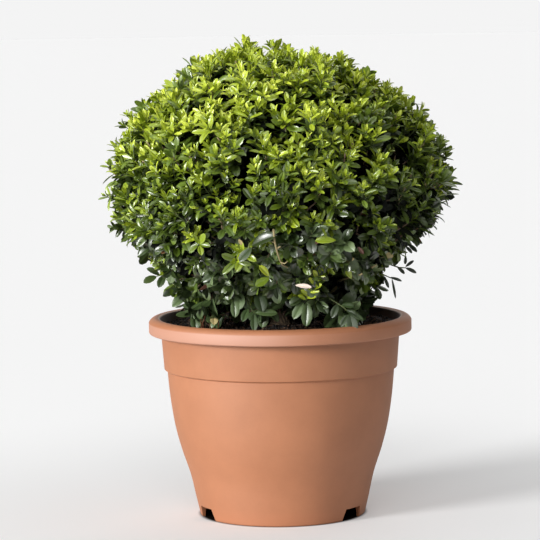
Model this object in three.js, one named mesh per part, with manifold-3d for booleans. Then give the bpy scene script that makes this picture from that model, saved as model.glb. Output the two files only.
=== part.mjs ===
// Box shrub clipped to a ball, growing in a round moulded plastic pot.
// Millimetres, +Z up, +X to the right and -Y to the front.
// The origin is on the ground, under the middle of the pot.
import * as THREE from "three";
import { mergeVertices } from "three/addons/utils/BufferGeometryUtils.js";
import Module from "manifold-3d";

const wasm = await Module();
wasm.setup();

// Driving dimensions

const clearance = 0.3; // between pieces that rest on each other
const aroundPot = 40; // flat faces round the pot and the compost

const pot = {
  height: 250, // at the crest of the collar
  wall: 3,
  footRadius: 104.3,
  bellyTop: 183.5, // the belly ends here, under a small step
  bandRadius: 146.5, // at the foot of the upper band
  neckRadius: 150.2, // the band's top, inside the collar
  neckHeight: 236,
  mouthRadius: 150.3,
  crestRadius: 157,
  rimRadius: 165,
  rimFoot: 229, // lower edge of the collar
  rimTurn: 240, // where the rounded top meets the collar's upright face
  baseLift: 16, // underside of the base above the ground
};

// The belly's outer radius at a few heights: a straight upper part, then a turn in to a steeper foot.
const bellyStations = [
  [104.3, 2],
  [109, 22],
  [115.8, 52],
  [126, 83],
  [134, 114],
  [139.6, 150],
  [142.7, 183.5],
];

const footNotch = { count: 3, firstTurn: 175.4, height: 15, topAngle: 17.3, footAngle: 21.5 };
const drainHole = { count: 6, radius: 6, ring: 62 };

const compost = {
  surface: 239,
  unevenness: 2.6,
  rings: [128, 108, 88, 68, 51], // where the surface rises and falls
  flatRadius: 34, // level round the stem
};

const stem = {
  footRadius: 24, // with the root flare
  neckRadius: 15,
  forkRadius: 14,
  flareHeight: 11,
  forkHeight: 31, // above the compost
  lean: 3, // sideways shift of the fork
};

// The last bough is the leader, which goes on up from the fork. The others leave the stem round it.
const boughs = {
  count: 7,
  baseRadius: 6.6,
  tipRadius: 4.6,
  firstTurn: 12,
  reach: 62, // outward length, mostly inside the foliage
  reachVaries: 5,
  rise: 42,
  startDepth: 12.5, // under the fork
  stagger: 5, // every other one starts lower by this
  leaderReach: 12,
  leaderDepth: 4,
};

const crown = {
  middle: new THREE.Vector3(2.5, 0, 415),
  halfWidth: 213,
  above: 179, // height over the middle
  below: 166, // depth under the middle
  roundnessAbove: 1.8, // 2 would be an ellipse
  roundnessBelow: 1.9,
  hollow: 0.25, // how far the underside is drawn up round the stem, as a share of the radius
  hollowAngle: 38,
  ripple: 4.2,
  bumps: 3.4,
};

// Broad swellings and dips of the clipped surface. turn goes anticlockwise from +X, rise is above the level.
const swellings = [
  { turn: 180, rise: 66, spread: 24, height: 8 },
  { turn: 180, rise: 24, spread: 15, height: 12 },
  { turn: 180, rise: -4, spread: 11, height: 6 },
  { turn: 180, rise: -26, spread: 9, height: -8 },
  { turn: 182, rise: -40, spread: 13, height: 15 },
  { turn: 0, rise: -38, spread: 12, height: 8 },
  { turn: 0, rise: -24, spread: 9, height: -7 },
  { turn: 0, rise: 4, spread: 14, height: 6 },
  { turn: 0, rise: 42, spread: 10, height: 8 },
  { turn: 0, rise: 74, spread: 18, height: -6 },
  { turn: -95, rise: 8, spread: 24, height: 4 },
  { turn: 80, rise: -12, spread: 22, height: 5 },
];

// Loose sprays that hang under the crown's edge. turn goes from the front towards the right.
const skirtSprays = [
  { name: "skirt_front_left", turn: -18, reach: 119, width: 56, foot: 247 },
  { name: "skirt_front_right", turn: 16, reach: 119, width: 42, foot: 251 },
  { name: "skirt_over_lip", turn: 36, reach: 126, width: 32, foot: 250 },
  { name: "skirt_right", turn: 76, reach: 108, width: 56, foot: 253 },
  { name: "skirt_right_rear", turn: 118, reach: 112, width: 62, foot: 249 },
  { name: "skirt_rear", turn: 163, reach: 114, width: 54, foot: 246 },
  { name: "skirt_left_rear", turn: 212, reach: 110, width: 60, foot: 250 },
  { name: "skirt_left", turn: 254, reach: 106, width: 50, foot: 255 },
  { name: "skirt_left_front", turn: 304, reach: 112, width: 46, foot: 251 },
];
const sprayTop = 292; // the crown cuts them off below this
const sprayDepth = 38;
const sprayRipple = 0.16;

const { degToRad, smoothstep, lerp } = THREE.MathUtils;
const up = new THREE.Vector3(0, 0, 1);

// Solids

function solidOf(geometry) {
  const bare = geometry.clone();
  bare.deleteAttribute("normal");
  bare.deleteAttribute("uv");
  const merged = mergeVertices(bare, 1e-3);
  return new wasm.Manifold(
    new wasm.Mesh({
      numProp: 3,
      vertProperties: new Float32Array(merged.getAttribute("position").array),
      triVerts: new Uint32Array(merged.index.array),
    }),
  );
}

function geometryOf(solid) {
  const mesh = solid.getMesh();
  const geometry = new THREE.BufferGeometry();
  geometry.setAttribute("position", new THREE.BufferAttribute(mesh.vertProperties, 3));
  geometry.setIndex(new THREE.BufferAttribute(mesh.triVerts, 1));
  geometry.computeVertexNormals();
  return geometry;
}

function toVectors(outline) {
  return outline.map(([radius, height]) => new THREE.Vector2(radius, height));
}

// A solid of revolution about Z from an outline of [radius, height] points that runs anticlockwise.
function revolved(outline) {
  return new THREE.LatheGeometry(toVectors(outline), aroundPot).rotateX(Math.PI / 2);
}

// Points of an arc, as [radius, height]. size is its half-width and half-height.
function arc(middle, size, fromAngle, toAngle, steps) {
  return Array.from({ length: steps + 1 }, (_, i) => {
    const angle = degToRad(lerp(fromAngle, toAngle, i / steps));
    return [middle[0] + size[0] * Math.cos(angle), middle[1] + size[1] * Math.sin(angle)];
  });
}

// A round limb that follows a path, with a radius that changes along it.
function limb(path, radiusAt, sides, steps) {
  const geometry = new THREE.CylinderGeometry(1, 1, 1, sides, steps);
  const frames = path.computeFrenetFrames(steps);
  const position = geometry.getAttribute("position");
  for (let i = 0; i < position.count; i++) {
    const along = position.getY(i) + 0.5;
    const step = Math.round(along * steps);
    const radius = radiusAt(along);
    const point = path.getPointAt(along);
    point.addScaledVector(frames.normals[step], radius * position.getX(i));
    point.addScaledVector(frames.binormals[step], radius * -position.getZ(i));
    position.setXYZ(i, point.x, point.y, point.z);
  }
  return geometry;
}

// Three crossing waves over the directions round a mass, between -1 and 1.
function waves(direction, count, phase) {
  const { x, y, z } = direction;
  const first = Math.sin(count * x + phase);
  const second = Math.sin(count * (0.6 * y + 0.8 * z) + 2.1 * phase);
  const third = Math.sin(count * (0.7 * x - 0.6 * y + 0.4 * z) + 3.7 * phase);
  return (first + second + third) / 3;
}

// A closed ball of triangles, each corner moved to the point that the function gives for its direction.
function uneven(detail, pointAt) {
  const geometry = new THREE.IcosahedronGeometry(1, detail);
  geometry.deleteAttribute("normal");
  geometry.deleteAttribute("uv");
  const merged = mergeVertices(geometry, 1e-4);
  const position = merged.getAttribute("position");
  const direction = new THREE.Vector3();
  for (let i = 0; i < position.count; i++) {
    direction.fromBufferAttribute(position, i).normalize();
    const point = pointAt(direction);
    position.setXYZ(i, point.x, point.y, point.z);
  }
  merged.computeVertexNormals();
  return merged;
}

// Pot

const bellySteps = 8;
const bellyCurve = new THREE.SplineCurve(toVectors(bellyStations));
const belly = bellyCurve.getPoints(bellySteps).map((point) => [point.x, point.y]);
const bandFoot = [pot.bandRadius, pot.bellyTop + 2.5];
const wallLine = [...belly, bandFoot, [pot.neckRadius, pot.neckHeight]];

// The inside of the wall from the base up, a wall's thickness in from the outside, at every other station.
const insideLine = wallLine
  .filter(([, height], i) => height > pot.baseLift + pot.wall && (i % 2 === 0 || i > bellySteps))
  .map(([radius, height]) => [radius - pot.wall, height]);
const baseTop = pot.baseLift + pot.wall;
const baseRadius = pot.footRadius - 1;

function potOutline() {
  const { wall, rimRadius, rimFoot, rimTurn, crestRadius, mouthRadius, height } = pot;
  const footRound = arc([pot.footRadius - 2, 2], [2, 2], -90, 0, 2);
  const underCollar = [
    [pot.neckRadius + 1, rimTurn + 4],
    [crestRadius + 1, height - 1.6 * wall],
    [rimRadius - wall, rimTurn - 1],
    [rimRadius - wall, rimFoot + 2],
  ];
  const collarEdge = arc([rimRadius - 2, rimFoot + 2], [2, 2], -100, 0, 2);
  const collarTop = arc([crestRadius, rimTurn], [rimRadius - crestRadius, height - rimTurn], 0, 90, 4);
  const lip = arc([mouthRadius + 3, height - 3.2], [3, 2.6], 90, 180, 3);
  return [
    [0, pot.baseLift],
    [pot.footRadius - wall - 1, pot.baseLift],
    [pot.footRadius - wall - 1, 0],
    ...footRound,
    ...wallLine.slice(1),
    ...underCollar,
    ...collarEdge,
    ...collarTop,
    ...lip,
    ...[...insideLine].reverse(),
    [baseRadius, baseTop],
    [0, baseTop],
  ];
}

// A wedge through the foot ring, narrower at its top.
function notchCutter(turn) {
  const halfTop = pot.footRadius * Math.tan(degToRad(footNotch.topAngle / 2));
  const halfFoot = pot.footRadius * Math.tan(degToRad(footNotch.footAngle / 2));
  const below = 5;
  const outline = new THREE.Shape([
    new THREE.Vector2(-halfFoot, -below),
    new THREE.Vector2(halfFoot, -below),
    new THREE.Vector2(halfFoot, 0),
    new THREE.Vector2(halfTop, footNotch.height),
    new THREE.Vector2(-halfTop, footNotch.height),
    new THREE.Vector2(-halfFoot, 0),
  ]);
  const reach = 14; // each way from the foot ring
  return new THREE.ExtrudeGeometry(outline, { depth: 2 * reach, bevelEnabled: false })
    .rotateX(Math.PI / 2)
    .translate(0, reach - pot.footRadius, 0)
    .rotateZ(degToRad(turn));
}

function drainCutter(index) {
  const angle = ((index + 0.5) * 2 * Math.PI) / drainHole.count;
  return new THREE.CylinderGeometry(drainHole.radius, drainHole.radius, 4 * pot.wall, 10)
    .rotateX(Math.PI / 2)
    .translate(drainHole.ring * Math.cos(angle), drainHole.ring * Math.sin(angle), pot.baseLift);
}

function potGeometry() {
  let solid = solidOf(revolved(potOutline()));
  for (let i = 0; i < footNotch.count; i++) {
    solid = solid.subtract(solidOf(notchCutter(footNotch.firstTurn + (i * 360) / footNotch.count)));
  }
  for (let i = 0; i < drainHole.count; i++) {
    solid = solid.subtract(solidOf(drainCutter(i)));
  }
  return geometryOf(solid);
}

// Compost, which fills the pot to a little under the lip

function compostGeometry() {
  const [neckFoot, neckTop] = insideLine.slice(-2);
  const edgeShare = (compost.surface - neckFoot[1]) / (neckTop[1] - neckFoot[1]);
  const edge = [lerp(neckFoot[0], neckTop[0], edgeShare) - clearance, compost.surface];
  const side = insideLine.slice(0, -1).map(([radius, height]) => [radius - clearance, height]);
  const bottom = baseTop + clearance;
  const rings = [...compost.rings, compost.flatRadius].map((radius) => [radius, compost.surface]);
  const geometry = revolved([
    [0, bottom],
    [baseRadius - clearance, bottom],
    ...side,
    edge,
    ...rings,
    [0, compost.surface],
  ]);
  const position = geometry.getAttribute("position");
  for (let i = 0; i < position.count; i++) {
    const radius = Math.hypot(position.getX(i), position.getY(i));
    const onSurface = Math.abs(position.getZ(i) - compost.surface) < 0.01;
    const isLoose = radius > compost.flatRadius + 1 && radius < compost.rings[0] + 1;
    if (!onSurface || !isLoose) continue;
    const place = new THREE.Vector3(position.getX(i), position.getY(i), 0).divideScalar(edge[0]);
    position.setZ(i, compost.surface + compost.unevenness * waves(place, 9, 0.8));
  }
  return geometryOf(solidOf(geometry));
}

// Stem and boughs

const stemFoot = compost.surface + clearance;
const forkPoint = new THREE.Vector3(stem.lean, -stem.lean / 2, stemFoot + stem.forkHeight);

// extra makes the space that the boughs keep clear of.
function stemGeometry(extra = 0) {
  const top = forkPoint.clone().addScaledVector(up, extra);
  const path = new THREE.LineCurve3(new THREE.Vector3(0, 0, stemFoot), top);
  const radiusAt = (along) => {
    const flare = Math.exp((-along * stem.forkHeight) / (0.5 * stem.flareHeight));
    const trunk = lerp(stem.neckRadius, stem.forkRadius, along);
    return trunk + (stem.footRadius - stem.neckRadius) * flare + extra;
  };
  const geometry = limb(path, radiusAt, 14, 7);
  const position = geometry.getAttribute("position");
  // The cut at the ground is level, though the stem leans.
  for (let i = 0; i < position.count; i++) {
    if (position.getZ(i) < stemFoot + 1.5) position.setZ(i, stemFoot - (extra ? 1 : 0));
  }
  return geometry;
}

function boughPath(index) {
  const isLeader = index === boughs.count - 1;
  const turn = degToRad(boughs.firstTurn + (index * 360) / (boughs.count - 1));
  const outward = new THREE.Vector3(Math.cos(turn), Math.sin(turn), 0);
  const lower = boughs.stagger * (index % 2);
  const reach = isLeader ? boughs.leaderReach : boughs.reach + boughs.reachVaries * Math.sin(2.3 * index);
  const depth = isLeader ? boughs.leaderDepth : boughs.startDepth + lower;
  const rise = isLeader ? boughs.rise : boughs.rise - lower;
  const start = forkPoint.clone().addScaledVector(up, -depth);
  const bend = start.clone().addScaledVector(outward, 0.62 * reach).addScaledVector(up, 0.34 * rise);
  const end = start.clone().addScaledVector(outward, reach).addScaledVector(up, rise);
  return new THREE.QuadraticBezierCurve3(start, bend, end);
}

function boughGeometry(index) {
  const radiusAt = (along) => lerp(boughs.baseRadius, boughs.tipRadius, along);
  const whole = solidOf(limb(boughPath(index), radiusAt, 8, 6));
  const stemSpace = solidOf(stemGeometry(clearance));
  return geometryOf(whole.subtract(stemSpace).subtract(crownSpace));
}

// Crown

function directionOf(turn, rise) {
  const level = Math.cos(degToRad(rise));
  const x = level * Math.cos(degToRad(turn));
  const y = level * Math.sin(degToRad(turn));
  return new THREE.Vector3(x, y, Math.sin(degToRad(rise)));
}

function crownRadius(direction) {
  const isAbove = direction.z > 0;
  const power = isAbove ? crown.roundnessAbove : crown.roundnessBelow;
  const depth = isAbove ? crown.above : crown.below;
  const level = Math.hypot(direction.x, direction.y) / crown.halfWidth;
  const upright = Math.abs(direction.z) / depth;
  let radius = (level ** power + upright ** power) ** (-1 / power);
  for (const { turn, rise, spread, height } of swellings) {
    const away = direction.angleTo(directionOf(turn, rise)) / degToRad(spread);
    radius += height * Math.exp(-away * away);
  }
  radius += crown.ripple * waves(direction, 9, 0.4) + crown.bumps * waves(direction, 21, 1.9);
  const fromDown = direction.angleTo(up.clone().negate());
  const drawnUp = 1 - smoothstep(fromDown, 0, degToRad(crown.hollowAngle));
  return radius * (1 - crown.hollow * drawnUp);
}

function crownGeometry(extra = 0) {
  return uneven(10, (direction) => {
    return crown.middle.clone().addScaledVector(direction, crownRadius(direction) + extra);
  });
}

const crownSpace = solidOf(crownGeometry(1.4 * clearance));

// Skirt

function sprayGeometry({ turn, reach, width, foot }, index) {
  const halfHeight = (sprayTop - foot) / 2;
  const place = new THREE.Vector3(0, -reach, foot + halfHeight);
  const shape = uneven(2, (direction) => {
    const ripple = sprayRipple * waves(direction, 4, index);
    return new THREE.Vector3(
      (direction.x * width * (1 + ripple)) / 2,
      (direction.y * sprayDepth * (1 + ripple)) / 2,
      direction.z * halfHeight * (1 + ripple / 2),
    );
  });
  shape.translate(place.x, place.y, place.z).rotateZ(degToRad(turn));
  return geometryOf(solidOf(shape).subtract(crownSpace));
}

// Materials

function finish(color, roughness) {
  return new THREE.MeshStandardMaterial({ color, roughness, metalness: 0 });
}

const finishes = {
  plastic: finish(0xd08e68, 0.55),
  compost: finish(0x241a14, 0.95),
  bark: finish(0x8a7659, 0.85),
  cutFoliage: finish(0x5f9426, 0.55),
  oldFoliage: finish(0x2f4f2e, 0.4),
};

// Assembly

const topiary = new THREE.Group();

function addPiece(name, geometry, material) {
  const mesh = new THREE.Mesh(geometry, material);
  mesh.name = name;
  topiary.add(mesh);
}

addPiece("pot", potGeometry(), finishes.plastic);
addPiece("compost", compostGeometry(), finishes.compost);
addPiece("main_stem", stemGeometry(), finishes.bark);
for (let i = 0; i < boughs.count; i++) {
  addPiece(`bough_${i + 1}`, boughGeometry(i), finishes.bark);
}
addPiece("clipped_crown", crownGeometry(), finishes.cutFoliage);
skirtSprays.forEach((spray, i) => {
  addPiece(spray.name, sprayGeometry(spray, i + 1), finishes.oldFoliage);
});

export default topiary;
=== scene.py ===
import math
import random

import bpy
import numpy as np
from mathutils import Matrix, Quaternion, Vector, noise


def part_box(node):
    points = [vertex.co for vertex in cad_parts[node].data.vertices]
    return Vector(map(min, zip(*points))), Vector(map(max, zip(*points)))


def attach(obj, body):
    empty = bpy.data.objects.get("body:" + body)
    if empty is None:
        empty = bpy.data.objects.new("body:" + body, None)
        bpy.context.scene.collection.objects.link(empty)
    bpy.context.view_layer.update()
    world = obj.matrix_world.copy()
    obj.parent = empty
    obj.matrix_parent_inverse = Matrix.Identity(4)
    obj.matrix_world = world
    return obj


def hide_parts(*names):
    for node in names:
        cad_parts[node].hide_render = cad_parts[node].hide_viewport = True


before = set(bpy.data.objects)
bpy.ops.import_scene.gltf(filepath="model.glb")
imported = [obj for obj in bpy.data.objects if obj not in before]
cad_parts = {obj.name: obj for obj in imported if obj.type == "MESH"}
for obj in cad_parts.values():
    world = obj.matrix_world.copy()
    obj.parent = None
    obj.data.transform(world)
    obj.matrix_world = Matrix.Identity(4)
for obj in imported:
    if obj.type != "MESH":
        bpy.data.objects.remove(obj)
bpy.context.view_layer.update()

mm = 0.001  # the scene is in metres, the sizes below are in millimetres
dice = random.Random(27)
zAxis = Vector((0, 0, 1))


# helpers for materials

def linearColour(hexText):
    parts = [int(hexText[i:i + 2], 16) / 255 for i in (0, 2, 4)]
    return [p / 12.92 if p <= 0.04045 else ((p + 0.055) / 1.055) ** 2.4 for p in parts] + [1.0]


def newMaterial(name, **values):
    # values are the Principled shader's own sockets
    material = bpy.data.materials.new(name)
    material.use_nodes = True
    shader = material.node_tree.nodes["Principled BSDF"]
    for socket, value in values.items():
        shader.inputs[socket.replace("_", " ")].default_value = value
    return material


def addNode(material, kind, settings=None, links=None):
    # a link is a value or the output that feeds the socket
    node = material.node_tree.nodes.new("ShaderNode" + kind)
    for name, value in (settings or {}).items():
        setattr(node, name, value)
    for name, value in (links or {}).items():
        if isinstance(value, bpy.types.NodeSocket):
            material.node_tree.links.new(value, node.inputs[name])
        else:
            node.inputs[name].default_value = value
    return node


smoothBlend = {"interpolation_type": "SMOOTHSTEP"}
colourMix = {"data_type": "RGBA"}


def feedShader(material, links):
    shader = material.node_tree.nodes["Principled BSDF"]
    for name, output in links.items():
        material.node_tree.links.new(output, shader.inputs[name])


# helpers for pieces

def deselectAll():
    bpy.ops.object.select_all(action="DESELECT")


def pick(piece):
    deselectAll()
    piece.select_set(True)
    bpy.context.view_layer.objects.active = piece


def finishPiece(piece, name, replaced, materials):
    # places the piece in its mesh, names it and ties it to the frame
    pick(piece)
    bpy.ops.object.transform_apply(location=True, rotation=True, scale=True)
    piece.name = name
    piece.data.name = name
    for material in materials:
        piece.data.materials.append(material)
    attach(piece, "root")
    if replaced:
        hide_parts(*replaced)


def selectWhole():
    bpy.ops.mesh.select_all(action="SELECT")


def applyModifiers(piece):
    pick(piece)
    for modifier in list(piece.modifiers):
        bpy.ops.object.modifier_apply(modifier=modifier.name)


def arcPoints(middle, size, fromAngle, toAngle, steps):
    # points of an arc as (radius, height), its size the half-width and half-height
    angles = [math.radians(fromAngle + (toAngle - fromAngle) * i / steps) for i in range(steps + 1)]
    return [(middle[0] + size[0] * math.cos(a), middle[1] + size[1] * math.sin(a)) for a in angles]


def smoothLine(stations, stepsBetween):
    # a curve through the stations
    points = []
    last = len(stations) - 1
    for i in range(last):
        before, a, b, after = (stations[max(0, min(last, i + k))] for k in (-1, 0, 1, 2))
        for step in range(stepsBetween):
            t = step / stepsBetween
            points.append(tuple(
                0.5 * (2 * a[n] + (b[n] - before[n]) * t
                       + (2 * before[n] - 5 * a[n] + 4 * b[n] - after[n]) * t * t
                       + (3 * a[n] - before[n] - 3 * b[n] + after[n]) * t ** 3)
                for n in (0, 1)))
    points.append(stations[-1])
    return points


def spinOutline(outline, steps):
    # draws the outline beside the axis point by point, then spins it round the axis
    deselectAll()
    bpy.ops.mesh.primitive_circle_add(vertices=3, radius=mm, location=(0, 0, 0))
    piece = bpy.context.active_object
    bpy.ops.object.mode_set(mode="EDIT")
    bpy.ops.mesh.merge(type="CENTER")
    selectWhole()
    place = Vector((outline[0][0] * mm, 0, outline[0][1] * mm))
    bpy.ops.transform.translate(value=place)
    for radius, height in outline[1:]:
        step = Vector((radius * mm, 0, height * mm)) - place
        bpy.ops.mesh.extrude_region_move(TRANSFORM_OT_translate={"value": step})
        place += step
    selectWhole()
    bpy.ops.mesh.remove_doubles(threshold=0.01 * mm)
    selectWhole()
    bpy.ops.mesh.spin(steps=steps, angle=2 * math.pi, center=(0, 0, 0), axis=(0, 0, 1))
    selectWhole()
    bpy.ops.mesh.remove_doubles(threshold=0.01 * mm)
    bpy.ops.mesh.normals_make_consistent(inside=False)
    bpy.ops.object.mode_set(mode="OBJECT")
    return piece


# camera, lights and floor

view = {
    "place": (-11.8, -3377.6, 634.3),
    "pitch": 0.0965,
    "roll": -0.0149,
    "lens": 180.23,  # on a 36 mm sensor
}
light = {
    "skyGrey": 0.905,  # what the camera sees over the floor
    "sheenGrey": 0.03,  # what glossy leaves mirror
    "fill": 0.03,  # how much of it lights the plant
    "lamps": (  # strength, angle and direction
        (3.7, 20, (-0.77, -0.58, 0.25)),  # a low softbox at the left
        (0.8, 36, (-0.1, -0.8, 0.58)),  # one higher in front
        (1.0, 100, (0, 0.1, 1)),  # a wide one overhead
        (0.9, 60, (0.12, 0.95, 0.3)),  # a weak one behind
    ),
    "floorSize": 120, "floorColour": "dedede", "paintedShadowColour": "1c1713",
    "paintedShadowEdge": (100.5, 109),  # painted shadow: dark from where the pot stands, fading out to the clear floor
    "nearGlow": 0.16, "farGlow": 0.27, "glowFrom": 0.14, "glowTo": 0.9,  # a painted glow, seen only by the camera, keeps the cast shadow pale
}


def palePaper():
    # matt backdrop paper with a painted glow, seen only by the camera, that pales the cast shadow, and a
    # painted shadow where the pot stands
    material = newMaterial("pale paper floor, matt, with painted shadow and glow", Roughness=0.8, Specular_IOR_Level=0.0)
    place = addNode(material, "TexCoord").outputs["Object"]
    away = addNode(material, "VectorMath", {"operation": "LENGTH"}, {0: place})
    dark, bare = light["paintedShadowEdge"]
    distance = away.outputs["Value"]
    # painted shadow where the pot stands, fading to the floor's own colour
    clear = addNode(material, "MapRange", smoothBlend,
                    {"Value": distance, "From Min": dark * mm, "From Max": bare * mm})
    colour = addNode(material, "Mix", colourMix,
                     {0: clear.outputs["Result"], 6: linearColour(light["paintedShadowColour"]),
                      7: linearColour(light["floorColour"])})
    # painted glow: weaker near the pot, none where it stands, and seen only by the camera
    glow = addNode(material, "MapRange", smoothBlend,
                   {"Value": distance, "From Min": light["glowFrom"], "From Max": light["glowTo"],
                    "To Min": light["nearGlow"], "To Max": light["farGlow"]})
    clearGlow = addNode(material, "Math", {"operation": "MULTIPLY"},
                        {0: glow.outputs["Result"], 1: clear.outputs["Result"]})
    path = addNode(material, "LightPath")
    seenGlow = addNode(material, "Math", {"operation": "MULTIPLY"},
                       {0: clearGlow.outputs["Value"], 1: path.outputs["Is Camera Ray"]})
    feedShader(material, {"Base Color": colour.outputs[2], "Emission Strength": seenGlow.outputs["Value"]})
    material.node_tree.nodes["Principled BSDF"].inputs["Emission Color"].default_value = (1, 1, 1, 1)
    return material


def makeStage():
    deselectAll()
    bpy.ops.object.camera_add(location=[n * mm for n in view["place"]])
    camera = bpy.context.active_object
    camera.rotation_euler = (math.pi / 2 - view["pitch"], 0, 0)
    camera.rotation_euler.rotate_axis("Z", view["roll"])
    camera.data.lens = view["lens"]
    camera.data.sensor_width = 36
    camera.data.clip_end = 200
    bpy.context.scene.camera = camera

    bpy.ops.mesh.primitive_plane_add(size=light["floorSize"], location=(0, 0, 0))
    floor = bpy.context.active_object
    floor.name = "floor"
    floor.data.materials.append(palePaper())

    for strength, angle, direction in light["lamps"]:
        bpy.ops.object.light_add(type="SUN", location=(0, 0, 2))
        lamp = bpy.context.active_object
        lamp.rotation_mode = "QUATERNION"
        lamp.rotation_quaternion = Vector(direction).to_track_quat("Z", "Y")
        lamp.data.energy = strength
        lamp.data.angle = math.radians(angle)

    # the world looks pale to the camera and lights the plant less than it shows
    world = bpy.data.worlds.new("studio")
    bpy.context.scene.world = world
    world.use_nodes = True
    path = addNode(world, "LightPath")
    mirrored = addNode(world, "MapRange", None,
                       {"Value": path.outputs["Is Glossy Ray"], "To Min": light["fill"],
                        "To Max": light["sheenGrey"]})
    seen = addNode(world, "MapRange", None,
                   {"Value": path.outputs["Is Camera Ray"], "To Min": mirrored.outputs["Result"],
                    "To Max": light["skyGrey"]})
    background = world.node_tree.nodes["Background"]
    background.inputs["Color"].default_value = (1, 1, 1, 1)
    world.node_tree.links.new(seen.outputs["Result"], background.inputs["Strength"])
    bpy.context.scene.view_settings.view_transform = "Standard"


makeStage()
print("stage made")


# pot

potSizes = {
    "height": 250, "wall": 3, "baseLift": 16, "steps": 180,
    "footRadius": 104.3, "footRound": 2, "footChamfer": 0.4,
    "belly": [(104.3, 2), (109, 22), (115.8, 52), (126, 83), (134, 114), (139.6, 150), (142.7, 183.5)],
    "bandRadius": 146.5, "bandRise": 2.5, "bandRound": 0.8,
    "neckRadius": 150.2, "neckHeight": 236,
    "mouthRadius": 150.3, "mouthRound": (3, 2.6), "crestRadius": 156,
    "rimRadius": 165, "rimFoot": 230.5, "rimRound": 2, "rimTurn": 244, "domeStart": 25,
    "notches": 3, "notchTurn": 175.4, "notchHeight": 15, "notchDepth": 28,
    "notchTop": 17.3, "notchFoot": 21.5,  # in degrees round the foot
    "holes": 6, "holeRadius": 6, "holeRing": 62,
}


def potWall():
    p = potSizes
    belly = smoothLine(p["belly"], 4)
    bandFoot = p["belly"][-1][1] + p["bandRise"]
    bend = p["bandRound"]
    band = arcPoints((p["bandRadius"] - bend, bandFoot), (bend, bend), -90, 0, 3)
    return belly + band + [(p["neckRadius"], p["neckHeight"])]


def insideOfWall():
    p = potSizes
    lowest = p["baseLift"] + p["wall"]
    return [(radius - p["wall"], height) for radius, height in potWall() if height > lowest + 2]


def potOutline():
    p = potSizes
    wall, foot, rim, lift = p["wall"], p["footRadius"], p["rimRadius"], p["baseLift"]
    inner = foot - wall - 1
    edge, bend, chamfer = p["footRound"], p["rimRound"], p["footChamfer"]
    outline = [(0, lift), (inner, lift), (inner, chamfer), (inner + chamfer, 0)]
    outline += arcPoints((foot - edge, edge), (edge, edge), -90, 0, 4)[:-1]
    outline += potWall()
    # the hollow under the collar, then the collar's lower edge
    outline += [(p["neckRadius"] + 1, p["height"] - 2 * wall)]
    outline += [(p["crestRadius"] + 1, p["height"] - 1.6 * wall)]
    outline += [(rim - wall, p["rimTurn"] - 3), (rim - wall, p["rimFoot"] + bend)]
    outline += arcPoints((rim - bend, p["rimFoot"] + bend), (bend, bend), -110, 0, 5)
    # the collar's upright face meets its dome in a soft crease
    start = math.radians(p["domeStart"])
    rise = p["height"] - p["rimTurn"]
    domeSize = ((rim - p["crestRadius"]) / math.cos(start), rise / (1 - math.sin(start)))
    outline += arcPoints((p["crestRadius"], p["height"] - domeSize[1]), domeSize, p["domeStart"], 90, 9)
    outline += arcPoints((p["mouthRadius"] + 3, p["height"] - 3.2), p["mouthRound"], 90, 180, 6)
    outline += reversed(insideOfWall())
    outline += [(foot - 1, lift + wall), (0, lift + wall)]
    return outline


def notchCutters():
    # wedges through the foot ring and rods through the base, joined into one cutter
    p = potSizes
    cutters = []
    for i in range(p["notches"]):
        deselectAll()
        bpy.ops.mesh.primitive_cube_add(size=1, location=(0, 0, 0))
        cutter = bpy.context.active_object
        for vertex in cutter.data.vertices:
            angle = p["notchTop"] if vertex.co.z > 0 else p["notchFoot"]
            width = 2 * p["footRadius"] * math.tan(math.radians(angle / 2))
            vertex.co.x *= width * mm
            vertex.co.y = (vertex.co.y * p["notchDepth"] - p["footRadius"]) * mm
            vertex.co.z = (p["notchHeight"] if vertex.co.z > 0 else -1) * mm
        cutter.rotation_euler.z = math.radians(p["notchTurn"] + i * 360 / p["notches"])
        cutters.append(cutter)
    for i in range(p["holes"]):
        deselectAll()
        angle = (i + 0.5) * 2 * math.pi / p["holes"]
        place = Vector((p["holeRing"] * math.cos(angle), p["holeRing"] * math.sin(angle), p["baseLift"])) * mm
        bpy.ops.mesh.primitive_cylinder_add(vertices=24, radius=p["holeRadius"] * mm, depth=20 * mm,
                                            location=place)
        cutters.append(bpy.context.active_object)
    deselectAll()
    for cutter in cutters:
        cutter.select_set(True)
    bpy.context.view_layer.objects.active = cutters[0]
    bpy.ops.object.join()
    return cutters[0]


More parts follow.
